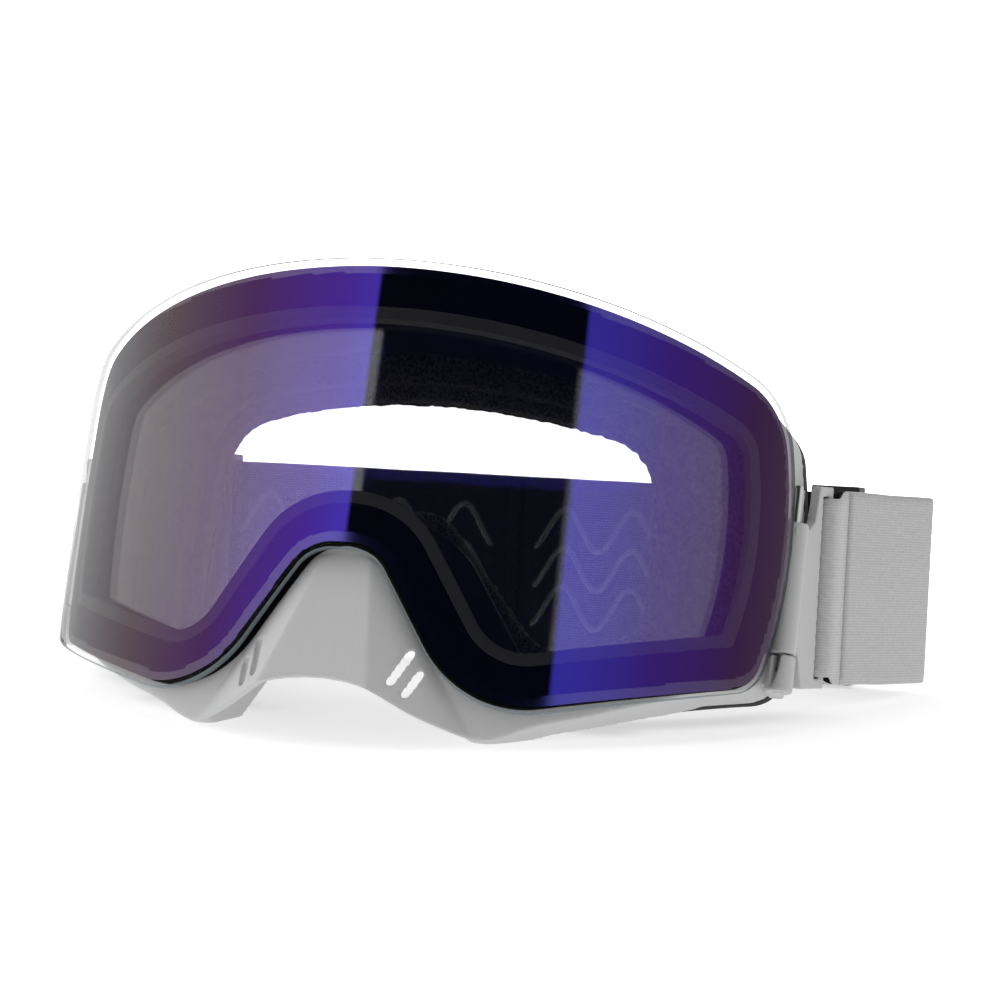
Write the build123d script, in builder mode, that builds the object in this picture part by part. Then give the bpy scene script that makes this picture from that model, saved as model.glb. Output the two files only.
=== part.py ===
"""Ski goggles: a magnetic cylindrical lens, a soft frame, face foam, outriggers and a strap.

Everything is modelled in the worn frame: the lens faces -Y, +X is the wearer's left, and z is
the height above the lobes beside the nose.  At the end the whole assembly is leaned back onto
its rest, which is the two lobes in front and the strap adjusters behind, and the origin goes to
the bottom centre of its box.
"""
import os
from math import atan2, cos, degrees, pi, radians, sin

from build123d import *

os.makedirs("parts", exist_ok=True)

# ------------------------------------------------------------------ driving dimensions, mm
# outer lens: part of a vertical cylinder, its outline given unrolled as (arc, height)
LENS_RADIUS = 99.0
LENS_THICKNESS = 2.0
LENS_TOP = 104.5
SIDE_POINT = (108.2, 55.3)
LENS_CORNERS = [(102.0, 87.8), (101.4, 21.3), (31.1, 2.3), (7.4, 38.2)]
LENS_RADII = [20.0, 12.0, 25.4, 9.8]
# the frame behind it, in front view
FRAME_CORNERS = [(84.9, 87.8), (84.6, 21.3), (30.6, 2.3), (7.4, 38.2)]
FRAME_RADII = [12.0, 10.0, 25.0, 9.8]

# what is bonded behind the outer lens
RIM_INSET = 1.4
BAND_INSET = 10.4
CARRIER_THICKNESS = 2.0
SPACER_WIDTH = 2.8
LENS_SPACING = 4.1
INNER_LENS_THICKNESS = 1.2

# frame
SEAT_GAP = 0.3
SEAT_THICKNESS = 2.5
SHELL_INSET = 2.2
WALL = 1.8
CHIN_DEPTH = 10.0
COVER_WALL = 2.2
LENS_WAY = 0.5
LOBE_REST_Y = 15.0

# face side: vertical cylinders about one axis, so that the foam layers follow a face
FACE_AXIS_Y = 135.0
FLANGE_RADIUS = 105.0
FLANGE_THICKNESS = 2.0
FIRM_FOAM_RADIUS = 97.0
SOFT_FOAM_RADIUS = 92.6
FACE_RADIUS = 91.0
FIRM_INSET = 6.0
SOFT_INSET = 9.0
FOAM_HALF_WIDTH = 79.0
FLOOR_MARGIN = 0.6

# outriggers
HINGE_X, HINGE_Y = 86.5, 59.5
HINGE_BOTTOM, HINGE_TOP = 23.5, 71.5
KNUCKLE_HEIGHT = 8.5
KNUCKLE_RADIUS = 3.2
BARREL_GAP = 0.4
BARREL_ROOM = 0.7
PIN_RADIUS = 1.0
PIN_CLEARANCE = 0.05
LUG_X, LUG_Y = (82.8, 86.2), (60.0, 68.0)
ARM_THICKNESS = 2.4
BAR_DISTANCE = 16.0
BAR_WIDTH = 2.2
SLOT_WIDTH = 2.7

# strap: one band that stands square to a plane tilted about X; q runs back along that plane
# and s across the strap
STRAP_TILT = 12.6
STRAP_S = 33.92
STRAP_WIDTH = 45.0
STRAP_THICKNESS = 2.0
STRAP_CORNER = (106.0, 137.8)
STRAP_FOLD_RADIUS = 9.0
LOOP_WIDTH = 41.0
LOOP_LAYER = 1.5
LOOP_GAP = 0.2
LOOP_LENGTH = 5.5
SIDE_START = 25.9
FOLD_END = 90.0
SEAM_WIDTH = 9.0
SEAM_THICKNESS = 0.8

# adjusters
SLIDER_X = 82.0
SLIDER_LENGTH = 12.0
SLIDER_WALL = 1.5
SLIDER_GAP = 0.3
TAIL_LENGTH = 24.0
TAIL_THICKNESS = 1.5

# silicone grip
WAVE_PERIOD = 17.5
WAVE_HEIGHT = 5.2
WAVE_SPACING = 12.0
BEAD_WIDTH = 1.3
BEAD_HEIGHT = 0.6
GRIP_LENGTH = 70.0

ARC_SPAN = 30.0
HALF_OVERLAP = 14.0
SIDE_TURN = radians(31.0)
SEAT_RADIUS = LENS_RADIUS - LENS_THICKNESS - CARRIER_THICKNESS - SEAT_GAP
SHELL_RADIUS = SEAT_RADIUS - SEAT_THICKNESS

tilt = radians(STRAP_TILT)
strap_plane = Plane(origin=(0, 0, 0), x_dir=(1, 0, 0), z_dir=(0, -sin(tilt), cos(tilt)))
HINGE_MIDDLE = (HINGE_BOTTOM + HINGE_TOP) / 2
HINGE_Q = HINGE_Y * cos(tilt) + HINGE_MIDDLE * sin(tilt)
strap_way = Vector(STRAP_CORNER[0] - HINGE_X, STRAP_CORNER[1] - HINGE_Q).normalized()
SLIDER_HALF = STRAP_WIDTH / 2 + SLIDER_GAP + SLIDER_WALL
SLIDER_BACK_Q = STRAP_CORNER[1] + STRAP_THICKNESS / 2 + SLIDER_GAP + TAIL_THICKNESS + SLIDER_WALL

# the rest: a plane under the lobes and the lower back edges of the adjusters
rest_s = STRAP_S - SLIDER_HALF
rest_y = SLIDER_BACK_Q * cos(tilt) - rest_s * sin(tilt)
rest_z = SLIDER_BACK_Q * sin(tilt) + rest_s * cos(tilt)
LEAN = degrees(atan2(rest_z, rest_y - LOBE_REST_Y))

parts = {}


# ------------------------------------------------------------------ shared geometry
def goggle_outline(corners, radii, top, side, inset):
    """The lens shape as arcs and lines: a crowned top, bowed sides, two lobes and a nose arch."""
    left = [(-x, height) for x, height in corners]
    with BuildSketch() as sketch:
        with BuildLine():
            ThreePointArc(left[0], (0, top), corners[0])
            ThreePointArc(corners[0], side, corners[1])
            Polyline(*corners[1:], *reversed(left[1:]))
            ThreePointArc(left[1], (-side[0], side[1]), left[0])
        make_face()
        for corner, radius in zip(corners, radii):
            pair = [
                v for v in sketch.vertices()
                if abs(abs(v.X) - corner[0]) < 0.01 and abs(v.Y - corner[1]) < 0.01
            ]
            fillet(pair, radius)
        if inset:
            offset(amount=-inset)
    return sketch.sketch


def bent(arc):
    """x of a point on the lens at an unrolled arc position."""
    return LENS_RADIUS * sin(arc / LENS_RADIUS)


def half_prism(inset):
    """The outline's +X half as a prism, nearly square to the lens all along that half."""
    flat = goggle_outline(LENS_CORNERS, LENS_RADII, LENS_TOP, SIDE_POINT, inset)
    with BuildSketch() as half:
        add(flat)
        with Locations((LENS_RADIUS - HALF_OVERLAP, LENS_TOP / 2)):
            Rectangle(2 * LENS_RADIUS, 2 * LENS_TOP, mode=Mode.INTERSECT)

    def turned(point):
        return LENS_RADIUS * sin(point.X / LENS_RADIUS - SIDE_TURN), point.Y

    side_plane = Plane(
        origin=(0, LENS_RADIUS, 0),
        x_dir=(cos(SIDE_TURN), sin(SIDE_TURN), 0),
        z_dir=(sin(SIDE_TURN), -cos(SIDE_TURN), 0),
    )
    with BuildPart() as prism:
        with BuildSketch(side_plane):
            with BuildLine():
                for edge in half.sketch.edges():
                    spans = max(1, round(edge.length / ARC_SPAN))
                    for k in range(spans):
                        start, middle, end = (turned(edge @ ((k + t) / spans)) for t in (0, 0.5, 1))
                        level = abs(start[1] - middle[1]) < 0.001
                        upright = abs(start[0] - end[0]) < 0.001
                        if level or upright:
                            Line(start, end)
                        else:
                            ThreePointArc(start, middle, end)
            make_face()
        extrude(amount=LENS_RADIUS + 5)
    return prism.part


def curved_plate(outer_inset, inner_inset, outer_radius, inner_radius):
    """A plate or ring bent round the lens axis, between two radii and two insets."""
    with BuildPart() as plate:
        add(half_prism(outer_inset))
        if inner_inset:
            add(half_prism(inner_inset), mode=Mode.SUBTRACT)
        with BuildSketch():
            with Locations((0, LENS_RADIUS)):
                Circle(outer_radius)
                Circle(inner_radius, mode=Mode.SUBTRACT)
            with Locations((LENS_RADIUS, 0)):
                Rectangle(2 * LENS_RADIUS, 2 * LENS_RADIUS, mode=Mode.INTERSECT)
        extrude(amount=LENS_TOP + 5, mode=Mode.INTERSECT)
        mirror(about=Plane.YZ)
    return plate.part


def frame_prism(inset, front_y=-5):
    """The frame's front-view outline as a prism along Y."""
    with BuildPart() as prism:
        with BuildSketch(Plane.XZ.offset(-front_y)):
            side = (bent(SIDE_POINT[0]), SIDE_POINT[1])
            add(goggle_outline(FRAME_CORNERS, FRAME_RADII, LENS_TOP, side, inset))
        extrude(amount=-110)
    return prism.part


def upright_cylinder(axis_y, radius):
    """A tall vertical cylinder centred on (0, axis_y)."""
    tall = Cylinder(radius, 2 * LENS_TOP, mode=Mode.PRIVATE)
    return Pos(0, axis_y, LENS_TOP / 2) * tall


def face_opening(margin, front_y=20.0, rear_y=110.0):
    """The see-through opening of the foam, widened by margin."""
    with BuildPart() as opening:
        with BuildSketch(Plane.XZ.offset(-front_y)) as sketch:
            with BuildLine():
                ThreePointArc((-53, 77), (0, 82), (53, 77))
                Polyline(
                    (53, 77), (55, 33), (34, 26), (9, 56),
                    (-9, 56), (-34, 26), (-55, 33), (-53, 77),
                )
            make_face()
            fillet(sketch.vertices().sort_by(Axis.Y)[-2:], 13)
            fillet(sketch.vertices().sort_by(Axis.X)[0], 12)
            fillet(sketch.vertices().sort_by(Axis.X)[-1], 12)
            fillet(sketch.vertices().sort_by(Axis.Y)[:2], 9)
            fillet([v for v in sketch.vertices() if abs(v.Y - 56) < 0.01], 9)
            if margin:
                offset(amount=margin)
        extrude(amount=-(rear_y - front_y))
    return opening.part


def block(x0, x1, y0, y1, z0, z1):
    """A plain box from its two corners."""
    box = Box(x1 - x0, y1 - y0, z1 - z0, mode=Mode.PRIVATE)
    return Pos((x0 + x1) / 2, (y0 + y1) / 2, (z0 + z1) / 2) * box


def keep(name, part):
    """Store a finished sub-part under its node name."""
    parts[name] = part


def keep_pair(name, part):
    """Store a sub-part of the wearer's left side and its mirror image."""
    keep(f"{name}_left", part)
    keep(f"{name}_right", mirror(part, about=Plane.YZ))


# ------------------------------------------------------------------ lens assembly
CARRIER_RADIUS = LENS_RADIUS - LENS_THICKNESS
CARRIER_BACK = CARRIER_RADIUS - CARRIER_THICKNESS
INNER_LENS_RADIUS = CARRIER_RADIUS - LENS_SPACING

MAGNET_RADIUS = 2.8
MAGNET_THICKNESS = 1.3
MAGNETS = [(36.0, 96.0), (104.4, 55.0), (66.0, 17.6)]


def magnets(back_radius):
    """Disc magnets set square to the lens, with their backs at back_radius."""
    discs = []
    for arc, height in MAGNETS:
        for side in (-1, 1):
            turn = side * arc / LENS_RADIUS
            place = Plane(
                origin=(back_radius * sin(turn), LENS_RADIUS - back_radius * cos(turn), height),
                z_dir=(sin(turn), -cos(turn), 0),
            )
            disc = Cylinder(MAGNET_RADIUS, MAGNET_THICKNESS, align=(Align.CENTER, Align.CENTER, Align.MIN))
            discs.append(place * disc)
    return discs


keep("outer_lens", curved_plate(0, None, LENS_RADIUS, CARRIER_RADIUS))
keep("inner_lens", curved_plate(
    BAND_INSET + 0.4, None, INNER_LENS_RADIUS, INNER_LENS_RADIUS - INNER_LENS_THICKNESS))
keep("lens_spacer", curved_plate(
    BAND_INSET + 0.3, BAND_INSET + 0.3 + SPACER_WIDTH, CARRIER_RADIUS, INNER_LENS_RADIUS))
lens_discs = magnets(CARRIER_BACK + 0.1)
with BuildPart() as lens_carrier:
    add(curved_plate(RIM_INSET, BAND_INSET, CARRIER_RADIUS, CARRIER_BACK))
    add(lens_discs, mode=Mode.SUBTRACT)
keep("lens_carrier", lens_carrier.part)
keep("lens_magnets", Part(children=lens_discs))

# ------------------------------------------------------------------ frame
shell_outside = frame_prism(SHELL_INSET)
shell_inside = frame_prism(SHELL_INSET + WALL)
floor_plane = Plane(
    origin=(0, LOBE_REST_Y, 0), x_dir=(1, 0, 0),
    z_dir=(0, -sin(radians(LEAN)), cos(radians(LEAN))))
VENTS = [(-39, 18, 21.5, 31), (-13, 20, 12, 24), (13, 20, 12, 24), (39, 18, 21.5, 31)]
CHEEK_VENT = (47, 57, 38.5, 40.5)


def below_floor(margin):
    """Everything under the resting plane raised by margin."""
    with BuildPart() as under:
        with BuildSketch(floor_plane.offset(margin)):
            Rectangle(300, 400)
        extrude(amount=-80)
    return under.part


def vent_cutters():
    """Air slots through the top wall and through the wall under each cheek."""
    cutters = [block(x - width / 2, x + width / 2, y0, y1, 85, 110) for x, width, y0, y1 in VENTS]
    x0, x1, y0, y1 = CHEEK_VENT
    return cutters + [block(x0, x1, y0, y1, 0, 30), block(-x1, -x0, y0, y1, 0, 30)]


vents = vent_cutters()
frame_discs = magnets(SEAT_RADIUS - MAGNET_THICKNESS - 0.15)
with BuildPart() as inner_frame:
    # wall behind the lens edge, up to the face flange
    add(shell_inside)
    add(frame_prism(SHELL_INSET + 2 * WALL), mode=Mode.SUBTRACT)
    add(upright_cylinder(LENS_RADIUS, SHELL_RADIUS), mode=Mode.INTERSECT)
    add(upright_cylinder(FACE_AXIS_Y, FLANGE_RADIUS), mode=Mode.SUBTRACT)
    add(vents, mode=Mode.SUBTRACT)
    # seat that the lens carrier lies on
    add(curved_plate(SHELL_INSET + 0.6, BAND_INSET - 0.9, SEAT_RADIUS, SHELL_RADIUS))
    add(frame_discs, mode=Mode.SUBTRACT)
with BuildPart() as face_flange:
    add(shell_outside)
    add(frame_prism(SHELL_INSET + 11), mode=Mode.SUBTRACT)
    add(upright_cylinder(FACE_AXIS_Y, FLANGE_RADIUS), mode=Mode.INTERSECT)
    add(upright_cylinder(FACE_AXIS_Y, FLANGE_RADIUS - FLANGE_THICKNESS), mode=Mode.SUBTRACT)
    add(below_floor(FLOOR_MARGIN), mode=Mode.SUBTRACT)
with BuildPart() as barrel_room:
    with Locations((HINGE_X, HINGE_Y, HINGE_MIDDLE)):
        Cylinder(KNUCKLE_RADIUS + BARREL_ROOM, HINGE_TOP - HINGE_BOTTOM - 2 * KNUCKLE_HEIGHT)
    mirror(about=Plane.YZ)
black_frame = inner_frame.part + face_flange.part - barrel_room.part
keep("inner_frame", black_frame)
keep("frame_magnets", Part(children=frame_discs))

# the chin: all of the grey frame that shows below the lens, in front view
CHIN = [(0, 8.4), (13, 6.1), (19, 3.3), (27, 0.8), (34, 0),
        (42, 3.6), (52, 7.8), (61, 12), (70, 17), (76, 24)]
CHIN_TOP = 60
# the nose cover's corners at two heights: crease (x, y), and foot (x, y) behind the lens edge
COVER_LEVELS = {-2.0: ((14.6, -10.6), (33.5, 10.5)), 39.0: ((5.0, 4.6), (9.0, 4.9))}
COVER_BACK = 26.0


def cover_solid(inward):
    """The nose cover as a solid hood, moved inward to give its inner face."""
    with BuildPart() as hood:
        for height, ((crease_x, crease_y), (foot_x, foot_y)) in COVER_LEVELS.items():
            crease = (crease_x - inward * 0.4, crease_y + inward)
            foot = (foot_x - inward * 1.1, foot_y + inward * 0.3)
            with BuildSketch(Plane.XY.offset(height)):
                with BuildLine():
                    Polyline(
                        crease, foot, (foot[0], COVER_BACK), (-foot[0], COVER_BACK),
                        (-foot[0], foot[1]), (-crease[0], crease[1]), (crease[0], crease[1]),
                    )
                make_face()
        loft(ruled=True)
    return hood.part


def nose_slots():
    """Two slanted slots through each side of the nose cover."""
    slots = []
    for x, z, length in ((16.4, 13.0, 9.6), (19.2, 9.8, 7.4)):
        with BuildPart() as slot:
            with BuildSketch(Plane.XZ.offset(12)):
                with Locations(Location((x, z), 76)):
                    SlotOverall(length, 1.9)
            extrude(amount=-26)
        slots += [slot.part, mirror(slot.part, about=Plane.YZ)]
    return slots


with BuildPart() as chin_block:
    with BuildSketch(Plane.XZ.offset(20)):
        with BuildLine():
            half = [(-x, z) for x, z in reversed(CHIN[1:])]
            Spline(*half, *CHIN)
            Polyline(CHIN[-1], (CHIN[-1][0], CHIN_TOP), (-CHIN[-1][0], CHIN_TOP), half[0])
        make_face()
    extrude(amount=-90)

with BuildPart() as lens_way:
    add(frame_prism(-LENS_WAY, front_y=-20))
    add(upright_cylinder(LENS_RADIUS, SEAT_RADIUS), mode=Mode.SUBTRACT)

with BuildPart() as nose_cover:
    add(cover_solid(0))
    add(chin_block.part, mode=Mode.INTERSECT)
    add(frame_prism(SHELL_INSET + 0.3), mode=Mode.SUBTRACT)

with BuildPart() as hinge_lugs:
    for base in (HINGE_BOTTOM, HINGE_TOP - KNUCKLE_HEIGHT):
        with BuildSketch(Plane.XY.offset(base)):
            with Locations((HINGE_X, HINGE_Y)):
                Circle(KNUCKLE_RADIUS)
            with Locations((sum(LUG_X) / 2, sum(LUG_Y) / 2)):
                Rectangle(LUG_X[1] - LUG_X[0], LUG_Y[1] - LUG_Y[0])
        extrude(amount=KNUCKLE_HEIGHT)
    with Locations((HINGE_X, HINGE_Y, HINGE_MIDDLE)):
        Cylinder(PIN_RADIUS, 60, mode=Mode.SUBTRACT)
    mirror(about=Plane.YZ)

with BuildPart() as outer_frame:
    # walls below the lens
    add(chin_block.part)
    add(upright_cylinder(LENS_RADIUS, SEAT_RADIUS), mode=Mode.INTERSECT)
    add(upright_cylinder(LENS_RADIUS, SEAT_RADIUS - CHIN_DEPTH), mode=Mode.SUBTRACT)
    add(frame_prism(SHELL_INSET + 0.3), mode=Mode.SUBTRACT)
    add(nose_cover.part)
    add(cover_solid(COVER_WALL), mode=Mode.SUBTRACT)
    add(nose_slots(), mode=Mode.SUBTRACT)
    add(below_floor(0), mode=Mode.SUBTRACT)
with BuildPart() as main_wall:
    add(shell_outside)
    add(shell_inside, mode=Mode.SUBTRACT)
    add(upright_cylinder(LENS_RADIUS, SHELL_RADIUS), mode=Mode.INTERSECT)
    add(upright_cylinder(FACE_AXIS_Y, FLANGE_RADIUS), mode=Mode.SUBTRACT)
    add(vents, mode=Mode.SUBTRACT)
with BuildPart() as whole_frame:
    add(outer_frame.part)
    add(main_wall.part)
    add(hinge_lugs.part)
    add(shell_inside, mode=Mode.SUBTRACT)
    add([lens_way.part, barrel_room.part], mode=Mode.SUBTRACT)
    add(black_frame, mode=Mode.SUBTRACT)
keep("outer_frame", Part(whole_frame.part.solids().sort_by(SortBy.VOLUME)[-1].wrapped))


# foam over the vents, outside the walls
def vent_foam(cutter):
    """A thin foam strip lying on the outside of the frame wall."""
    with BuildPart() as strip:
        add(frame_prism(SHELL_INSET - 1.3))
        add(shell_outside, mode=Mode.SUBTRACT)
        add(cutter, mode=Mode.INTERSECT)
        add(upright_cylinder(LENS_RADIUS, SHELL_RADIUS - 1), mode=Mode.INTERSECT)
        add(upright_cylinder(FACE_AXIS_Y, FLANGE_RADIUS + 0.5), mode=Mode.SUBTRACT)
    return strip.part


keep("top_vent_foam", vent_foam(block(-52, 52, 5, 50, 85, 110)))
keep_pair("bottom_vent_foam", vent_foam(block(42, 58, 37.5, 60, 0, 30)))

# ------------------------------------------------------------------ face foam
opening = face_opening(0)


def foam_layer(inset, outer_radius, inner_radius, hole):
    """One layer of foam between two face cylinders."""
    with BuildPart() as layer:
        add(frame_prism(inset))
        add(block(-FOAM_HALF_WIDTH, FOAM_HALF_WIDTH, 0, 100, 0, 110), mode=Mode.INTERSECT)
        add(hole, mode=Mode.SUBTRACT)
        add(upright_cylinder(FACE_AXIS_Y, outer_radius), mode=Mode.INTERSECT)
        add(upright_cylinder(FACE_AXIS_Y, inner_radius), mode=Mode.SUBTRACT)
        add(below_floor(FLOOR_MARGIN), mode=Mode.SUBTRACT)
    return layer.part


keep("face_foam_firm", foam_layer(
    FIRM_INSET, FLANGE_RADIUS - FLANGE_THICKNESS, FIRM_FOAM_RADIUS, face_opening(3)))
keep("face_foam_soft", foam_layer(SOFT_INSET, FIRM_FOAM_RADIUS, SOFT_FOAM_RADIUS, opening))
keep("face_fleece", foam_layer(SOFT_INSET, SOFT_FOAM_RADIUS, FACE_RADIUS, opening))

# ------------------------------------------------------------------ outriggers
arm_plane = Plane(
    origin=strap_plane.from_local_coords((HINGE_X, HINGE_Q, STRAP_S)),
    x_dir=strap_plane.x_dir * strap_way.X + strap_plane.y_dir * strap_way.Y,
    z_dir=strap_plane.x_dir * strap_way.Y - strap_plane.y_dir * strap_way.X,
)
BARREL_BOTTOM = HINGE_BOTTOM + KNUCKLE_HEIGHT + BARREL_GAP
BARREL_TOP = HINGE_TOP - KNUCKLE_HEIGHT - BARREL_GAP
BAR_FRONT = BAR_DISTANCE - BAR_WIDTH / 2
PLATE_HALF = LOOP_WIDTH / 2 + 2.7
PLATE = [
    (0, -14), (0, 13.2), (6.2, 13.2), (8.9, 15), (10.6, PLATE_HALF), (BAR_FRONT + BAR_WIDTH, PLATE_HALF),
    (BAR_FRONT + BAR_WIDTH, -PLATE_HALF), (6, -PLATE_HALF), (3.5, -15), (0, -14),
]
with BuildPart() as outrigger:
    with BuildSketch(arm_plane.offset(-ARM_THICKNESS / 2)):
        with BuildLine():
            Polyline(*PLATE)
        make_face()
        with Locations((BAR_FRONT - SLOT_WIDTH / 2, 0)):
            Rectangle(SLOT_WIDTH, LOOP_WIDTH + 0.8, mode=Mode.SUBTRACT)
    extrude(amount=ARM_THICKNESS)
    with BuildSketch(Plane.XY.offset(BARREL_BOTTOM)):
        with Locations((HINGE_X, HINGE_Y)):
            Circle(KNUCKLE_RADIUS - 0.1)
    extrude(amount=BARREL_TOP - BARREL_BOTTOM)
    with Locations((HINGE_X, HINGE_Y, HINGE_MIDDLE)):
        Cylinder(PIN_RADIUS + PIN_CLEARANCE, 60, mode=Mode.SUBTRACT)
keep_pair("outrigger", outrigger.part)

with BuildPart() as hinge_pin:
    with BuildSketch(Plane.XY.offset(HINGE_BOTTOM)):
        with Locations((HINGE_X, HINGE_Y)):
            Circle(PIN_RADIUS)
    extrude(amount=HINGE_TOP - HINGE_BOTTOM)
keep_pair("hinge_pin", hinge_pin.part)


# ------------------------------------------------------------------ strap
def across(width, centre=STRAP_S):
    """Plane at the lower edge of a band of this width."""
    return strap_plane.offset(centre - width / 2)


def along(distance):
    """Point on the strap's centre line at a distance from the hinge."""
    return HINGE_X + strap_way.X * distance, HINGE_Q + strap_way.Y * distance


loop_angle = degrees(atan2(strap_way.Y, strap_way.X))
with BuildPart() as strap_loop:
    with BuildSketch(across(LOOP_WIDTH)):
        hole_half = ARM_THICKNESS / 2 + LOOP_GAP + 0.3
        with Locations(Location(along(BAR_DISTANCE + LOOP_LENGTH / 2), loop_angle)):
            SlotCenterToCenter(LOOP_LENGTH, 2 * (hole_half + LOOP_LAYER))
        with Locations(Location(along(BAR_DISTANCE + 1), loop_angle)):
            SlotCenterToCenter(2, 2 * hole_half, mode=Mode.SUBTRACT)
    extrude(amount=LOOP_WIDTH)
keep_pair("strap_loop", strap_loop.part)

half_strap = STRAP_THICKNESS / 2
normal = Vector(strap_way.Y, -strap_way.X)
start = Vector(*along(SIDE_START))
corner = Vector(*STRAP_CORNER)
turn_half = radians(90 + degrees(atan2(strap_way.X, strap_way.Y))) / 2
bisector = (normal + Vector(0, 1)).normalized() * (half_strap / cos(turn_half))
with BuildPart() as strap_side:
    with BuildSketch(across(STRAP_WIDTH)):
        with BuildLine():
            outside = FilletPolyline(
                start + normal * half_strap, corner + bisector, (FOLD_END, corner.Y + half_strap),
                radius=STRAP_FOLD_RADIUS + half_strap)
            inside = FilletPolyline(
                start - normal * half_strap, corner - bisector, (FOLD_END, corner.Y - half_strap),
                radius=STRAP_FOLD_RADIUS - half_strap)
            Line(outside @ 0, inside @ 0)
            Line(outside @ 1, inside @ 1)
        make_face()
    extrude(amount=STRAP_WIDTH)
keep_pair("strap_side", strap_side.part)


def back_band(x0, x1, q0, q1, width):
    """A flat piece of the back of the strap between two x and two q."""
    with BuildPart() as band:
        with BuildSketch(across(width)):
            with Locations(((x0 + x1) / 2, (q0 + q1) / 2)):
                Rectangle(x1 - x0, q1 - q0)
        extrude(amount=width)
    return band.part


BACK_IN = STRAP_CORNER[1] - half_strap
BACK_OUT = STRAP_CORNER[1] + half_strap
keep_pair("strap_back", back_band(0, FOLD_END, BACK_IN, BACK_OUT, STRAP_WIDTH))
keep("strap_seam", back_band(
    -SEAM_WIDTH / 2, SEAM_WIDTH / 2, BACK_OUT, BACK_OUT + SEAM_THICKNESS, STRAP_WIDTH))

# adjusters: a frame round the strap, and the strap's tail held against its outer face
TAIL_IN = BACK_OUT + SLIDER_GAP
TAIL_OUT = TAIL_IN + TAIL_THICKNESS
SLIDER_IN = BACK_IN - BEAD_HEIGHT - SLIDER_GAP
with BuildPart() as strap_slider:
    add(back_band(
        SLIDER_X - SLIDER_LENGTH / 2, SLIDER_X + SLIDER_LENGTH / 2,
        SLIDER_IN - SLIDER_WALL, SLIDER_BACK_Q, 2 * SLIDER_HALF))
    add(back_band(
        SLIDER_X - SLIDER_LENGTH, SLIDER_X + SLIDER_LENGTH,
        SLIDER_IN, TAIL_OUT, STRAP_WIDTH + 2 * SLIDER_GAP), mode=Mode.SUBTRACT)
keep_pair("strap_slider", strap_slider.part)
TAIL_END = SLIDER_X + SLIDER_LENGTH / 2
keep_pair("strap_tail", back_band(TAIL_END - TAIL_LENGTH, TAIL_END, TAIL_IN, TAIL_OUT, LOOP_WIDTH))


# ------------------------------------------------------------------ silicone grip
def wave(row, side):
    """One wavy bead: points along a sine, mirrored about the centre seam."""
    points = []
    for step in range(int(4 * GRIP_LENGTH / WAVE_PERIOD) + 1):
        x = SEAM_WIDTH / 2 + 1 + step * WAVE_PERIOD / 4
        height = row * WAVE_SPACING + WAVE_HEIGHT * sin(2 * pi * (x - SEAM_WIDTH) / WAVE_PERIOD)
        points.append((side * x, height))
    return points


grip_plane = Plane(
    origin=strap_plane.from_local_coords((0, BACK_IN, STRAP_S)),
    x_dir=(1, 0, 0), z_dir=-strap_plane.y_dir)
with BuildPart() as silicone_grip:
    for row in (-1, 0, 1):
        for side in (-1, 1):
            with BuildSketch(grip_plane):
                with BuildLine():
                    points = wave(row, side)
                    Spline(*[(x, z + BEAD_WIDTH / 2) for x, z in points])
                    Spline(*[(x, z - BEAD_WIDTH / 2) for x, z in points])
                    for x, z in (points[0], points[-1]):
                        Line((x, z + BEAD_WIDTH / 2), (x, z - BEAD_WIDTH / 2))
                make_face()
            extrude(amount=BEAD_HEIGHT)
keep("silicone_grip", silicone_grip.part)

# ------------------------------------------------------------------ lean back, centre, write
lean = Location((0, 0, 0), (-LEAN, 0, 0))
leaned = {name: lean * part for name, part in parts.items()}
boxes = [part.bounding_box() for part in leaned.values()]
low_y, high_y = min(b.min.Y for b in boxes), max(b.max.Y for b in boxes)
low_z = min(b.min.Z for b in boxes)
to_rest = Location((0, -(low_y + high_y) / 2, -low_z))
for name, part in leaned.items():
    placed = to_rest * part
    placed.label = name
    export_step(placed, f"parts/{name}.step")
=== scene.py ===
from math import asin, atan2, cos, pi, radians, sin

import bpy
import numpy as np
from mathutils import Matrix, Vector, noise


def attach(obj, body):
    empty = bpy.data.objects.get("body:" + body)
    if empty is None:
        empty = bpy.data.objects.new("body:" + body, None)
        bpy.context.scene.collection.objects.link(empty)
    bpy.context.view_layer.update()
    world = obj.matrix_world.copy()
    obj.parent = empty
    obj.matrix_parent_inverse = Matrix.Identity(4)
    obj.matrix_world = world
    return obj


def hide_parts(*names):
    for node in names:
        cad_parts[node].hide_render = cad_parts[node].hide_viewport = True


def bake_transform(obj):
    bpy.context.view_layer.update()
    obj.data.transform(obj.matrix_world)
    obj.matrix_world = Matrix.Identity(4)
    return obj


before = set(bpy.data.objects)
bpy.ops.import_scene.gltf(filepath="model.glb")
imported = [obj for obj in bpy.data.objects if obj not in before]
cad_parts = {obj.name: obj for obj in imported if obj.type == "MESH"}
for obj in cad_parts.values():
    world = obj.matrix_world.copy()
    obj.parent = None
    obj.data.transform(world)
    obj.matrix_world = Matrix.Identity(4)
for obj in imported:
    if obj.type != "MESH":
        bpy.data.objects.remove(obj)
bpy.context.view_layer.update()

# ------------------------------------------------------------------ where things are
# Shapes are worked out in the worn frame, in millimetres: the lens faces -Y and z is height above
# the lobes beside the nose.  The goggles lean back from there onto their rest.
MM = 0.001
LEAN = 18.3764
REST_SHIFT = (0, -71.0204, 4.7289)
WORN = (Matrix.Scale(MM, 4) @ Matrix.Translation(REST_SHIFT) @ Matrix.Rotation(-radians(LEAN), 4, "X"))
WORN_BACK = WORN.inverted()

LENS_RADIUS = 99.0
LENS_THICKNESS = 1.85
EDGE_WIDTH = 0.3
RIM_WIDTH = 1.4
BORDER_WIDTH = 3.6

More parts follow.
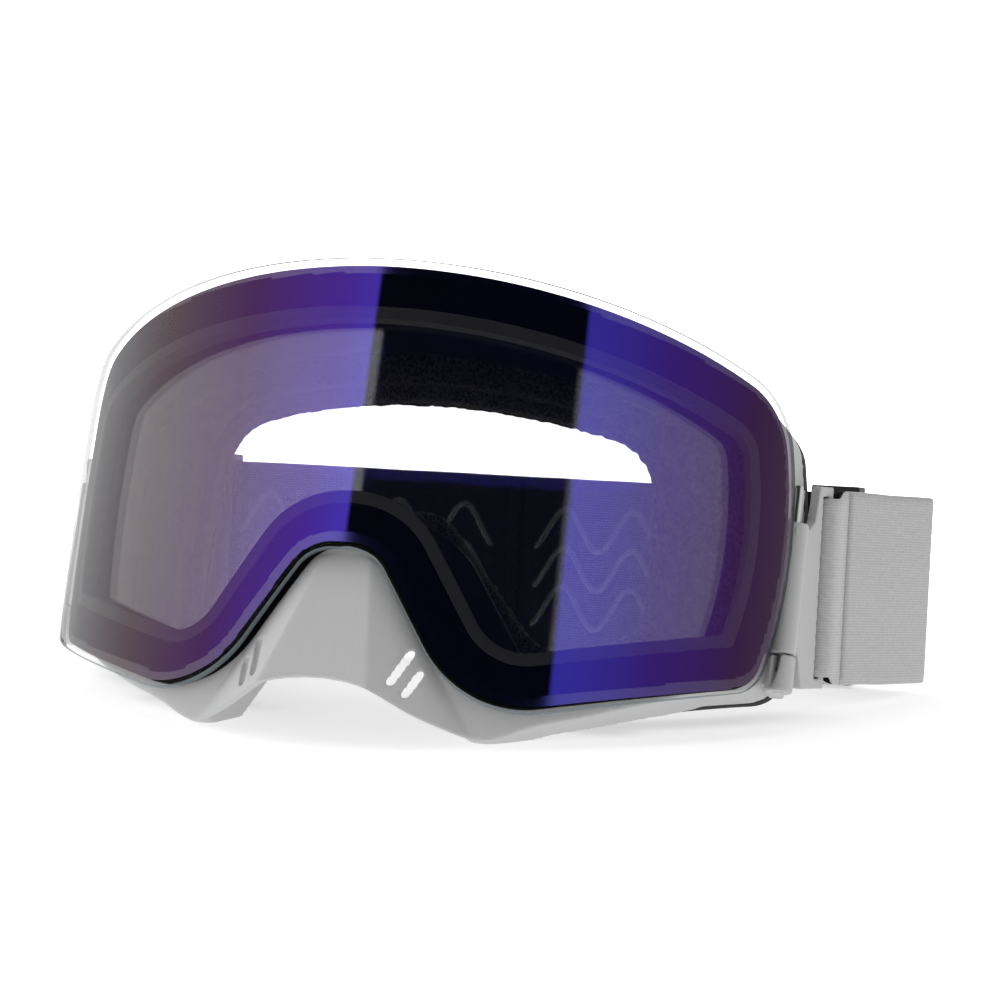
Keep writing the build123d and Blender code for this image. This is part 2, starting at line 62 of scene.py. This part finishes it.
STRAP_TILT = radians(12.6)
STRAP_MIDDLE = 33.92
STRAP_WIDTH = 44.6
BAND_THICKNESS = 1.8
HINGE = (86.5, 68.43)
STRAP_CORNER = (106.0, 137.8)
FOLD_RADIUS = 2.2
SIDE_START = 25.9
BAR_DISTANCE = 16.0
LOOP_RADIUS = 2.45
LOOP_WIDTH = 40.6
SEWN_END = 44.0

WAVE_PERIOD = 17.5
WAVE_HEIGHT = 5.2
WAVE_SPACING = 9.7
BEAD_RADIUS = 0.75
GRIP_START, GRIP_END = 5.5, 74.0

CAMERA_PLACE = (0.2638, -0.7932, 0.1250)
CAMERA_TURN = (84.682, -1.535, 17.390)
CAMERA_LENS = 129.6


def to_row(points):
    """Worn millimetres to the row frame's metres."""
    return [tuple(WORN @ Vector(p)) for p in points]


def to_worn(points):
    """The row frame's metres to worn millimetres."""
    m = np.array(WORN_BACK)
    return np.asarray(points) @ m[:3, :3].T + m[:3, 3]


# ------------------------------------------------------------------ materials
def new_material(name, colour, roughness, metallic=0.0, alpha=1.0, specular=0.5):
    """A Principled material and its parts: (material, nodes, links, shader)."""
    made = bpy.data.materials.new(name)
    made.use_nodes = True
    nodes, links = made.node_tree.nodes, made.node_tree.links
    shader = nodes["Principled BSDF"]
    shader.inputs["Base Color"].default_value = (*colour, 1)
    shader.inputs["Roughness"].default_value = roughness
    shader.inputs["Metallic"].default_value = metallic
    shader.inputs["Alpha"].default_value = alpha
    shader.inputs["Specular IOR Level"].default_value = specular
    return made, nodes, links, shader


def ramp_node(nodes, stops):
    """A colour ramp from (position, colour) stops."""
    ramp = nodes.new("ShaderNodeValToRGB")
    while len(ramp.color_ramp.elements) < len(stops):
        ramp.color_ramp.elements.new(0.5)
    for element, (place, colour) in zip(ramp.color_ramp.elements, stops):
        element.position = place
        element.color = (*colour, 1)
    return ramp


def grain(parts, colour, scale, spread, bump, detail=6.0, kind="noise"):
    """Colour variation and bump from one procedural texture; scale is the grain's size in mm."""
    nodes, links, shader = parts[1:]
    place = nodes.new("ShaderNodeTexCoord")
    if kind == "cells":
        texture = nodes.new("ShaderNodeTexVoronoi")
        value = texture.outputs["Distance"]
    else:
        texture = nodes.new("ShaderNodeTexNoise")
        texture.inputs["Detail"].default_value = detail
        texture.inputs["Roughness"].default_value = 0.65
        value = texture.outputs["Fac"]
    texture.inputs["Scale"].default_value = 1 / (scale * MM)
    links.new(place.outputs["Object"], texture.inputs["Vector"])
    low = tuple(c * (1 - spread) for c in colour)
    high = tuple(min(1, c * (1 + spread)) for c in colour)
    ramp = ramp_node(nodes, [(0.3, low), (0.7, high)])
    links.new(value, ramp.inputs["Fac"])
    links.new(ramp.outputs["Color"], shader.inputs["Base Color"])
    height = nodes.new("ShaderNodeBump")
    height.inputs["Strength"].default_value = 0.7
    height.inputs["Distance"].default_value = bump * MM
    links.new(value, height.inputs["Height"])
    links.new(height.outputs["Normal"], shader.inputs["Normal"])
    return parts[0]


def grained(name, colour, roughness, scale, spread, bump, specular=0.5, kind="noise"):
    """A plain dielectric with grain."""
    parts = new_material(name, colour, roughness, specular=specular)
    return grain(parts, colour, scale, spread, bump, kind=kind)


# the mirror coating's colour against the angle it is seen at, as 1 - cos
COATING = [
    (0.00, (0.02, 0.075, 0.80)),
    (0.04, (0.09, 0.07, 0.90)),
    (0.12, (0.10, 0.032, 0.46)),
    (0.25, (0.11, 0.035, 0.17)),
    (0.45, (0.16, 0.11, 0.13)),
    (0.70, (0.24, 0.24, 0.25)),
    (1.00, (0.75, 0.75, 0.75)),
]


def mirror_coating(name, alpha, roughness=0.01, lift=0.0):
    """The lens's front coating: a thin metal film that turns from blue to purple and grey."""
    made, nodes, links, shader = new_material(name, (0.1, 0.1, 0.6), roughness, 1.0, alpha)
    angle = nodes.new("ShaderNodeLayerWeight")
    angle.inputs["Blend"].default_value = 0.5
    stops = [(place, tuple(c + (1 - c) * lift for c in colour)) for place, colour in COATING]
    ramp = ramp_node(nodes, stops)
    links.new(angle.outputs["Facing"], ramp.inputs["Fac"])
    links.new(ramp.outputs["Color"], shader.inputs["Base Color"])
    return made


def webbing(name, colour, rib=0.62, pick=0.55, sheen=0.15):
    """Elastic webbing: warp ribs along the strap crossed by finer picks, from the strap's UVs in mm."""
    made, nodes, links, shader = new_material(name, colour, 0.85, specular=0.1)
    uv = nodes.new("ShaderNodeUVMap")
    uv.uv_map = "strap"
    split = nodes.new("ShaderNodeSeparateXYZ")
    links.new(uv.outputs["UV"], split.inputs[0])
    heights = []
    for output, pitch in (("Y", rib), ("X", pick)):
        turn = nodes.new("ShaderNodeMath")
        turn.operation = "MULTIPLY"
        turn.inputs[1].default_value = 2 * pi / pitch
        links.new(split.outputs[output], turn.inputs[0])
        wave = nodes.new("ShaderNodeMath")
        wave.operation = "SINE"
        links.new(turn.outputs[0], wave.inputs[0])
        heights.append(wave.outputs[0])
    cross = nodes.new("ShaderNodeMath")
    cross.operation = "MULTIPLY_ADD"
    links.new(heights[0], cross.inputs[0])
    links.new(heights[1], cross.inputs[1])
    links.new(heights[0], cross.inputs[2])
    fuzz = nodes.new("ShaderNodeTexNoise")
    fuzz.inputs["Scale"].default_value = 0.9
    fuzz.inputs["Detail"].default_value = 8
    links.new(uv.outputs["UV"], fuzz.inputs["Vector"])
    total = nodes.new("ShaderNodeMath")
    total.operation = "MULTIPLY_ADD"
    total.inputs[1].default_value = 0.22
    links.new(cross.outputs[0], total.inputs[0])
    links.new(fuzz.outputs["Fac"], total.inputs[2])
    ramp = ramp_node(nodes, [(0.1, tuple(c * 0.82 for c in colour)), (0.9, tuple(c * 1.1 for c in colour))])
    links.new(total.outputs[0], ramp.inputs["Fac"])
    links.new(ramp.outputs["Color"], shader.inputs["Base Color"])
    bump = nodes.new("ShaderNodeBump")
    bump.inputs["Strength"].default_value = 0.6
    bump.inputs["Distance"].default_value = 0.12 * MM
    links.new(total.outputs[0], bump.inputs["Height"])
    links.new(bump.outputs["Normal"], shader.inputs["Normal"])
    shader.inputs["Sheen Weight"].default_value = sheen
    return made


GREY = (0.55, 0.55, 0.553)
mirror = mirror_coating("mirror_coating", 0.38)
border = mirror_coating("coating_border", 0.42, 0.12, 0.10)
clear_edge = new_material("clear_polycarbonate", (0.01, 0.012, 0.014), 0.03, alpha=0.06)[0]
glass_edge = new_material("glass_edge", (0.16, 0.20, 0.22), 0.15, alpha=0.75)[0]
film = new_material("inner_lens_gloss", (0.88, 0.88, 0.90), 0.03, 1.0, 0.14)[0]
carrier_black = grained("carrier_black", (0.003, 0.003, 0.003), 0.6, 0.5, 0.3, 0.002, 0.02)
frame_grey = grained("frame_grey", GREY, 0.62, 0.35, 0.05, 0.035, specular=0.3)
frame_black = grained("frame_black", (0.012, 0.012, 0.012), 0.6, 0.4, 0.2, 0.03, 0.2)
spacer_foam = grained("spacer_foam", (0.03, 0.03, 0.03), 0.8, 0.3, 0.4, 0.05)
vent_foam = grained("vent_foam", (0.035, 0.035, 0.033), 0.95, 1.0, 0.6, 0.5, 0.1, "cells")
firm_foam = grained("firm_foam", (0.035, 0.034, 0.028), 0.95, 0.8, 0.5, 0.35, 0.1, "cells")
soft_foam = grained("soft_foam", (0.06, 0.058, 0.047), 0.95, 0.6, 0.45, 0.3, 0.1, "cells")
fleece = grained("fleece", (0.025, 0.0245, 0.021), 1.0, 0.5, 0.5, 0.35, 0.1)
fleece.node_tree.nodes["Principled BSDF"].inputs["Sheen Weight"].default_value = 0.2
strap_grey = webbing("strap_grey", GREY)
strap_black = webbing("strap_black", (0.009, 0.009, 0.009), sheen=0.0)
thread = grained("thread", (0.46, 0.46, 0.46), 0.8, 0.3, 0.15, 0.05)
slider_black = grained("slider_black", (0.025, 0.025, 0.025), 0.5, 0.35, 0.2, 0.03)
silicone = new_material("silicone", (0.24, 0.25, 0.24), 0.35, alpha=0.3)[0]
steel = grain(new_material("steel", (0.6, 0.6, 0.6), 0.28, 1.0), (0.6, 0.6, 0.6), 0.3, 0.1, 0.01)
nickel = grain(new_material("nickel", (0.7, 0.69, 0.66), 0.2, 1.0), (0.7, 0.69, 0.66), 0.5, 0.06, 0.005)


# ------------------------------------------------------------------ mesh helpers
def mesh_object(name, points, faces, materials, picks=None, smooth=True):
    """A mesh in the row frame, with a material index for each face."""
    mesh = bpy.data.meshes.new(name)
    mesh.from_pydata(points, [], faces)
    for one in materials:
        mesh.materials.append(one)
    if picks is not None:
        mesh.polygons.foreach_set("material_index", picks)
    mesh.polygons.foreach_set("use_smooth", [smooth] * len(mesh.polygons))
    mesh.update()
    made = bpy.data.objects.new(name, mesh)
    bpy.context.scene.collection.objects.link(made)
    return made


def soft_copy(node, name, voxel, rounds, material):
    """The CAD node remeshed and smoothed, so that its edges are as soft as moulded rubber's."""
    made = bpy.data.objects.new(name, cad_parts[node].data.copy())
    bpy.context.scene.collection.objects.link(made)
    remesh = made.modifiers.new("remesh", "REMESH")
    remesh.mode = "VOXEL"
    remesh.voxel_size = voxel * MM
    relax = made.modifiers.new("relax", "SMOOTH")
    relax.iterations = rounds
    relax.factor = 0.5
    shape = bpy.data.meshes.new_from_object(made.evaluated_get(bpy.context.evaluated_depsgraph_get()))
    made.modifiers.clear()
    made.data = shape
    shape.materials.clear()
    shape.materials.append(material)
    shape.polygons.foreach_set("use_smooth", [True] * len(shape.polygons))
    return made


def roughen(piece, size, height, seed):
    """Moves points along their normals by noise, for torn foam and fuzz."""
    mesh = piece.data
    spots = np.empty(len(mesh.vertices) * 3, np.float32)
    mesh.vertices.foreach_get("co", spots)
    spots = spots.reshape(-1, 3)
    normals = np.array([v.vector for v in mesh.vertex_normals])
    offset = Vector((seed, 2 * seed, 3 * seed))
    pushes = []
    for spot in spots / (size * MM):
        place = Vector(spot) + offset
        pushes.append(noise.noise(place) + 0.5 * noise.noise(place * 2.3))
    spots = spots + normals * (np.array(pushes) * height * MM)[:, None]
    mesh.vertices.foreach_set("co", spots.astype(np.float32).ravel())
    mesh.update()


def finish_piece(piece, body, slot, *nodes):
    """Rides and hides the CAD nodes that the piece stands for."""
    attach(piece, body)
    if nodes:
        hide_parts(*nodes)
    return piece


# ------------------------------------------------------------------ lens
def lens_outline():
    """The outer lens's edge, unrolled: points (arc, height) in order, read from its CAD face."""
    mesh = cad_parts["outer_lens"].data
    points = to_worn([v.co for v in mesh.vertices])
    arc = LENS_RADIUS * np.arctan2(points[:, 0], LENS_RADIUS - points[:, 1])
    depth = np.hypot(points[:, 0], LENS_RADIUS - points[:, 1])
    front = depth > LENS_RADIUS - 0.2
    used = {}
    for face in mesh.polygons:
        corners = list(face.vertices)
        if all(front[v] for v in corners):
            for a, b in zip(corners, corners[1:] + corners[:1]):
                key = tuple(sorted((tuple(np.round(points[a], 3)), tuple(np.round(points[b], 3)))))
                used.setdefault(key, []).append((a, b))
    edges = [pair[0] for pair in used.values() if len(pair) == 1]
    return [((arc[a], points[a, 2]), (arc[b], points[b, 2])) for a, b in edges]


def span_at(edges, arc):
    """Lowest and highest height of the outline at one arc position."""
    heights = []
    for (a0, z0), (a1, z1) in edges:
        if min(a0, a1) <= arc <= max(a0, a1) and abs(a1 - a0) > 1e-9:
            heights.append(z0 + (z1 - z0) * (arc - a0) / (a1 - a0))
    return min(heights), max(heights)


def edge_distance(edges, spots):
    """Distance of each unrolled point from the outline."""
    a = np.array([e[0] for e in edges])
    d = np.array([e[1] for e in edges]) - a
    size = np.maximum((d ** 2).sum(1), 1e-12)
    best = np.full(len(spots), 1e9)
    for start, run, squared in zip(a, d, size):
        t = np.clip(((spots - start) @ run) / squared, 0, 1)
        best = np.minimum(best, np.hypot(*(spots - start - t[:, None] * run).T))
    return best


def build_lens():
    """The mirrored lens as an even grid on its cylinder, with a rounded, uncoated rim."""
    edges = lens_outline()
    widest = max(max(abs(a[0]), abs(b[0])) for a, b in edges) - 0.02
    columns, rows = 260, 110
    turns = np.linspace(-1, 1, columns)
    arcs = widest * (0.82 * turns + 0.18 * np.sin(turns * pi / 2) ** 3)
    share = 0.5 - 0.5 * np.cos(np.linspace(0, pi, rows))
    share = 0.6 * np.linspace(0, 1, rows) + 0.4 * share
    spots = []
    for arc in arcs:
        low, high = span_at(edges, arc)
        spots += [(arc, low + (high - low) * part) for part in share]
    spots = np.array(spots)
    distance = edge_distance(edges, spots)
    rounding = 0.4 * np.clip(1 - distance / 0.6, 0, 1) ** 2
    points = []
    for layer, inward in ((1, rounding), (-1, LENS_THICKNESS - rounding)):
        depth = LENS_RADIUS - inward
        turn = spots[:, 0] / LENS_RADIUS
        points.append(np.stack([depth * np.sin(turn), LENS_RADIUS - depth * np.cos(turn), spots[:, 1]], 1))
    total = len(spots)
    faces, picks = [], []
    for c in range(columns - 1):
        for r in range(rows - 1):
            a, b, d, e = c * rows + r, (c + 1) * rows + r, (c + 1) * rows + r + 1, c * rows + r + 1
            near = distance[[a, b, d, e]].mean()
            faces.append((a, b, d, e))
            zones = [near < EDGE_WIDTH, near < RIM_WIDTH, near < BORDER_WIDTH, True]
            picks.append(3 - zones.index(True))
            faces.append((a + total, e + total, d + total, b + total))
            picks.append(2)
    rim = [c * rows for c in range(columns)] + [(columns - 1) * rows + r for r in range(1, rows)]
    rim += [c * rows + rows - 1 for c in range(columns - 2, -1, -1)] + list(range(rows - 2, 0, -1))
    for a, b in zip(rim, rim[1:] + rim[:1]):
        faces.append((b, a, a + total, b + total))
        picks.append(3)
    lens = mesh_object("mirror_lens", to_row(np.concatenate(points)), faces, [mirror, border, clear_edge, glass_edge], picks)
    return finish_piece(lens, "lens", "mirror_lens", "outer_lens")


build_lens()

# ------------------------------------------------------------------ frame, foam, arms
shell = soft_copy("outer_frame", "frame_shell", 0.4, 9, frame_grey)
finish_piece(shell, "frame", "frame_grey", "outer_frame")
for node, name, voxel, rounds, skin, slot, rough in (
        ("face_foam_firm", "foam_firm", 1.0, 3, firm_foam, "firm_foam", (2.2, 0.35)),
        ("face_foam_soft", "foam_soft", 0.9, 3, soft_foam, "soft_foam", (1.6, 0.45)),
        ("face_fleece", "face_lining", 0.7, 2, fleece, "fleece", (1.4, 0.4)),
        ("top_vent_foam", "top_vent_strip", 0.6, 2, vent_foam, "vent_foam", (1.2, 0.3)),
        ("bottom_vent_foam_left", "cheek_strip_left", 0.5, 2, vent_foam, "vent_foam", (1.2, 0.3)),
        ("bottom_vent_foam_right", "cheek_strip_right", 0.5, 2, vent_foam, "vent_foam", (1.2, 0.3))):
    foam = soft_copy(node, name, voxel, rounds, skin)
    roughen(foam, *rough, seed=len(name))
    finish_piece(foam, "frame", slot, node)
for side in ("left", "right"):
    arm = soft_copy(f"outrigger_{side}", f"arm_{side}", 0.3, 3, frame_grey)
    finish_piece(arm, f"outrigger_{side}", "frame_grey", f"outrigger_{side}")
    slider = soft_copy(f"strap_slider_{side}", f"adjuster_{side}", 0.35, 3, slider_black)
    finish_piece(slider, f"slider_{side}", "slider_plastic", f"strap_slider_{side}")


def dress(node, material):
    """Gives a carried-over CAD node its material."""
    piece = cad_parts[node]
    piece.data.materials.clear()
    piece.data.materials.append(material)


for node, material in {
        "inner_lens": film, "lens_carrier": carrier_black, "lens_spacer": spacer_foam,
        "lens_magnets": nickel, "frame_magnets": nickel, "inner_frame": frame_black,
        "hinge_pin_left": steel, "hinge_pin_right": steel}.items():
    dress(node, material)


# ------------------------------------------------------------------ strap
WAY = Vector((STRAP_CORNER[0] - HINGE[0], STRAP_CORNER[1] - HINGE[1])).normalized()
OUT = Vector((WAY.y, -WAY.x))


def strap_point(x, q, s):
    """A point of the tilted strap frame in worn millimetres."""
    return x, q * cos(STRAP_TILT) - s * sin(STRAP_TILT), q * sin(STRAP_TILT) + s * cos(STRAP_TILT)


def along(distance, out=0.0):
    """A point of the strap's side run, at a distance from the hinge and this far outward."""
    return Vector(HINGE) + WAY * distance + OUT * out


def sweep_band(name, centres, widths, thickness, materials, side=1, rows=26):
    """A flat band swept along centres (x, q), its outer face on the left of travel when side is 1."""
    centres = [Vector(c) for c in centres]
    count = len(centres)
    lengths = [0.0]
    for a, b in zip(centres, centres[1:]):
        lengths.append(lengths[-1] + (b - a).length)
    ring = []
    for k in range(rows + 1):
        ring.append((1, -1 + 2 * k / rows))
    ring += [(0.0, 1.012)]
    for k in range(rows, -1, -1):
        ring.append((-1, -1 + 2 * k / rows))
    ring += [(0.0, -1.012)]
    points, uvs = [], []
    for k, centre in enumerate(centres):
        before, after = centres[max(k - 1, 0)], centres[min(k + 1, count - 1)]
        run = (after - before).normalized()
        out = Vector((run.y, -run.x)) * side
        half = widths[k] / 2
        ripple = 0.18 * noise.noise(Vector((lengths[k] / 14, 3.7, 0)))
        for level, across in ring:
            taper = 0.8 if abs(across) > 0.97 else 1.0
            spot = centre + out * (level * taper * thickness / 2)
            edge = ripple if abs(across) > 0.9 else 0
            points.append(strap_point(spot.x, spot.y, STRAP_MIDDLE + across * half + edge))
            uvs.append((lengths[k], across * half))
    size = len(ring)
    faces, picks = [], []
    for k in range(count - 1):
        for r in range(size):
            n = (r + 1) % size
            face = (k * size + r, (k + 1) * size + r, (k + 1) * size + n, k * size + n)
            faces.append(face if side > 0 else face[::-1])
            picks.append(0 if r <= rows or r >= 2 * rows + 2 else 1)
    for base in (0, (count - 1) * size):
        for r in range(rows):
            ends = (base + r, base + r + 1, base + 2 * rows + 1 - r, base + 2 * rows + 2 - r)
            faces.append(ends if (base == 0) == (side > 0) else ends[::-1])
            picks.append(0)
    band = mesh_object(name, to_row(points), faces, materials, picks)
    layer = band.data.uv_layers.new(name="strap")
    for loop in band.data.loops:
        layer.data[loop.index].uv = uvs[loop.vertex_index]
    return band


def fold_path():
    """Centre line of the left fold: from the side run round to the back run."""
    turn = pi / 2 + asin(WAY.x)
    cut = FOLD_RADIUS * sin(turn / 2) / cos(turn / 2)
    first = Vector(STRAP_CORNER) - WAY * cut
    centre = first - OUT * FOLD_RADIUS
    start = atan2(OUT.y, OUT.x)
    steps = 16
    return [
        centre + Vector((cos(start + turn * k / steps), sin(start + turn * k / steps))) * FOLD_RADIUS
        for k in range(steps + 1)]


def band_path():
    """Centre line of the whole band from the left sewn end to the right one."""
    fold = fold_path()
    first = along(SIDE_START)
    run = [first.lerp(fold[0], k / 16) for k in range(16)]
    back_half = [fold[-1].lerp(Vector((0, fold[-1].y)), k / 44) for k in range(1, 45)]
    left = run + fold + back_half
    return left + [Vector((-p.x, p.y)) for p in reversed(left[:-1])]


def end_path():
    """The strap's end: in to the arm's bar, round it and back along the inside."""
    half_turn = [
        along(BAR_DISTANCE - LOOP_RADIUS * sin(a), LOOP_RADIUS * cos(a))
        for a in [pi * k / 14 for k in range(15)]]
    lead = []
    for k in range(14):
        t = k / 14
        ease = t * t * (3 - 2 * t)
        lead.append(along(SIDE_START + (BAR_DISTANCE - SIDE_START) * t, LOOP_RADIUS * ease))
    back = []
    under = BAND_THICKNESS + 0.15
    for k in range(1, 30):
        t = k / 29
        settle = min(1, t * 2.4)
        ease = settle * settle * (3 - 2 * settle)
        back.append(along(BAR_DISTANCE + (SEWN_END - BAR_DISTANCE) * t, -LOOP_RADIUS + (LOOP_RADIUS - under) * ease))
    return lead + half_turn + back


def end_widths(path):
    """The strap narrows to pass the arm's slot."""
    widths = []
    for p in path:
        distance = (p - Vector(HINGE)).dot(WAY)
        t = min(1, max(0, (distance - 17.5) / (SIDE_START - 17.5)))
        widths.append(LOOP_WIDTH + (STRAP_WIDTH - LOOP_WIDTH) * t * t * (3 - 2 * t))
    return widths


def mirrored(path):
    return [Vector((-p.x, p.y)) for p in path]


whole = band_path()
band = sweep_band("strap_band", whole, [STRAP_WIDTH] * len(whole), BAND_THICKNESS, [strap_grey, strap_black], side=1)
finish_piece(band, "frame", "strap_web", "strap_side_left", "strap_side_right", "strap_back_left", "strap_back_right")
left_end = end_path()
for side, path, sign in (("left", left_end, -1), ("right", mirrored(left_end), 1)):
    end = sweep_band(f"strap_end_{side}", path, end_widths(path), 1.5, [strap_grey, strap_black], side=sign)
    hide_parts(f"strap_loop_{side}")
    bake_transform(end)


def tube(name, paths, radius, material, sides=8):
    """Round threads or beads along lists of worn points, as one mesh."""
    points, faces = [], []
    for path in paths:
        path = [Vector(p) for p in path]
        base = len(points)
        for k, spot in enumerate(path):
            run = (path[min(k + 1, len(path) - 1)] - path[max(k - 1, 0)]).normalized()
            first = run.orthogonal().normalized() if k == 0 else (first - run * first.dot(run)).normalized()
            second = run.cross(first)
            end = 0.35 if k in (0, len(path) - 1) else 1.0
            for c in range(sides):
                a = 2 * pi * c / sides
                points.append(tuple(spot + (first * cos(a) + second * sin(a)) * radius * end))
        for k in range(len(path) - 1):
            for c in range(sides):
                n = (c + 1) % sides
                low, high = base + k * sides, base + (k + 1) * sides
                faces.append((low + c, low + n, high + n, high + c))
        faces.append(tuple(range(base + sides - 1, base - 1, -1)))
        faces.append(tuple(range(base + (len(path) - 1) * sides, base + len(path) * sides)))
    return mesh_object(name, to_row(points), faces, [material])


def grip_waves():
    """Three wavy silicone beads on each side of the centre seam, on the band's inner face."""
    inner = STRAP_CORNER[1] - BAND_THICKNESS / 2 - 0.1
    paths = []
    for side in (-1, 1):
        for row in (-1, 0, 1):
            steps = 130
            path = []
            for k in range(steps + 1):
                x = GRIP_START + (GRIP_END - GRIP_START) * k / steps
                s = STRAP_MIDDLE + row * WAVE_SPACING + WAVE_HEIGHT * sin(2 * pi * (x - 9.0) / WAVE_PERIOD)
                path.append(strap_point(side * x, inner, s))
            paths.append(path)
    return paths


beads = tube("silicone_waves", grip_waves(), BEAD_RADIUS, silicone)
finish_piece(beads, "frame", "silicone", "silicone_grip")


def stitches(places, direction, length, count, pitch):
    """Short thread runs in a row; places gives the (x, q) of each row."""
    paths = []
    for x, q in places:
        for k in range(count):
            s = STRAP_MIDDLE + (k - (count - 1) / 2) * pitch
            paths.append([
                strap_point(x, q, s - length / 2), strap_point(x, q + direction * 0.12, s),
                strap_point(x, q, s + length / 2)])
    return paths


back_outer = STRAP_CORNER[1] + BAND_THICKNESS / 2
seam_path = [Vector((4.4 - 8.8 * k / 8, back_outer + 0.3)) for k in range(9)]
seam = sweep_band("centre_seam", seam_path, [STRAP_WIDTH] * 9, 0.7, [strap_grey, strap_grey], side=1)
finish_piece(seam, "frame", "strap_web", "strap_seam")
seam_thread = tube(
    "seam_thread", stitches([(x, back_outer + 0.68) for x in (-3, -1, 1, 3)], 1, 2.2, 13, 3.1), 0.2, thread, 6)
finish_piece(seam_thread, "frame", "strap_web")
inner_seam = sweep_band(
    "inner_seam", [Vector((x, STRAP_CORNER[1] - BAND_THICKNESS / 2 - 0.15)) for x in (1.6, 0.8, 0, -0.8, -1.6)],
    [STRAP_WIDTH - 1] * 5, 0.5, [strap_black, strap_black], side=1)
finish_piece(inner_seam, "frame", "strap_web")

tail_q = STRAP_CORNER[1] + 1 + 0.3 + 0.75
for side, sign in (("left", 1), ("right", -1)):
    tail_path = [Vector((sign * (88 - k), tail_q)) for k in range(25)]
    tail = sweep_band(f"tail_{side}", tail_path, [LOOP_WIDTH] * 25, 1.4, [strap_grey, strap_black], side=sign)
    finish_piece(tail, f"slider_{side}", "strap_web", f"strap_tail_{side}")

# ------------------------------------------------------------------ stage, light and camera
FLOOR_RADIUS = 0.42
FLOOR_FADE = 0.16


def build_floor():
    """A pale disc that fades into the white surroundings."""
    count = 96
    points = [(0, 0, 0)] + [
        (FLOOR_RADIUS * cos(2 * pi * k / count), FLOOR_RADIUS * sin(2 * pi * k / count), -0.0002)
        for k in range(count)]
    faces = [(0, k + 1, (k + 1) % count + 1) for k in range(count)]
    made = bpy.data.materials.new("floor_white")
    made.use_nodes = True
    nodes, links = made.node_tree.nodes, made.node_tree.links
    shader = nodes["Principled BSDF"]
    shader.inputs["Base Color"].default_value = (0.62, 0.62, 0.62, 1)
    shader.inputs["Roughness"].default_value = 0.9
    shader.inputs["Specular IOR Level"].default_value = 0.1
    shader.inputs["Emission Color"].default_value = (1, 1, 1, 1)
    shader.inputs["Emission Strength"].default_value = 0.6
    place = nodes.new("ShaderNodeTexCoord")
    length = nodes.new("ShaderNodeVectorMath")
    length.operation = "LENGTH"
    links.new(place.outputs["Object"], length.inputs[0])
    fade = nodes.new("ShaderNodeMapRange")
    fade.inputs["From Min"].default_value = FLOOR_FADE
    fade.inputs["From Max"].default_value = FLOOR_RADIUS
    fade.inputs["To Min"].default_value = 1
    fade.inputs["To Max"].default_value = 0
    links.new(length.outputs["Value"], fade.inputs["Value"])
    links.new(fade.outputs[0], shader.inputs["Alpha"])
    floor = mesh_object("floor", points, faces, [made])


DARK_FROM, DARK_TO = -21.5, 44.0
SKY = 1.6


def build_world():
    """White surroundings, with an unlit gap behind the camera that the lens mirrors as a dark band."""
    world = bpy.data.worlds.new("studio")
    bpy.context.scene.world = world
    world.use_nodes = True
    nodes, links = world.node_tree.nodes, world.node_tree.links
    background = nodes["Background"]
    place = nodes.new("ShaderNodeTexCoord")
    split = nodes.new("ShaderNodeSeparateXYZ")
    links.new(place.outputs["Generated"], split.inputs[0])
    back = nodes.new("ShaderNodeMath")
    back.operation = "MULTIPLY"
    back.inputs[1].default_value = -1
    links.new(split.outputs["Y"], back.inputs[0])
    turn = nodes.new("ShaderNodeMath")
    turn.operation = "ARCTAN2"
    links.new(split.outputs["X"], turn.inputs[0])
    links.new(back.outputs[0], turn.inputs[1])
    share = nodes.new("ShaderNodeMapRange")
    share.inputs["From Min"].default_value = -pi
    share.inputs["From Max"].default_value = pi
    links.new(turn.outputs[0], share.inputs["Value"])

    def at(angle):
        return 0.5 + angle / 360

    left, right, dark = (0.92,) * 3, (0.52,) * 3, (0.004, 0.005, 0.006)
    ramp = ramp_node(nodes, [
        (0.0, (0.62,) * 3), (at(DARK_FROM - 90), left), (at(DARK_FROM - 0.3), left), (at(DARK_FROM + 0.3), dark),
        (at(DARK_TO - 0.3), dark), (at(DARK_TO + 0.3), right), (at(DARK_TO + 90), right), (1.0, (0.62,) * 3)])
    links.new(share.outputs[0], ramp.inputs["Fac"])
    seen = nodes.new("ShaderNodeLightPath")
    pick = nodes.new("ShaderNodeMix")
    pick.data_type = "RGBA"
    links.new(seen.outputs["Is Camera Ray"], pick.inputs["Factor"])
    links.new(ramp.outputs["Color"], pick.inputs["A"])
    pick.inputs["B"].default_value = (2.0, 2.0, 2.0, 1)
    links.new(pick.outputs["Result"], background.inputs["Color"])
    background.inputs["Strength"].default_value = SKY


def build_camera():
    data = bpy.data.cameras.new("camera")
    data.lens = CAMERA_LENS
    data.sensor_width = 36
    camera = bpy.data.objects.new("camera", data)
    camera.location = CAMERA_PLACE
    camera.rotation_euler = [radians(a) for a in CAMERA_TURN]
    bpy.context.scene.collection.objects.link(camera)
    bpy.context.scene.camera = camera


build_floor()
build_world()
build_camera()
bpy.context.scene.view_settings.view_transform = "Standard"
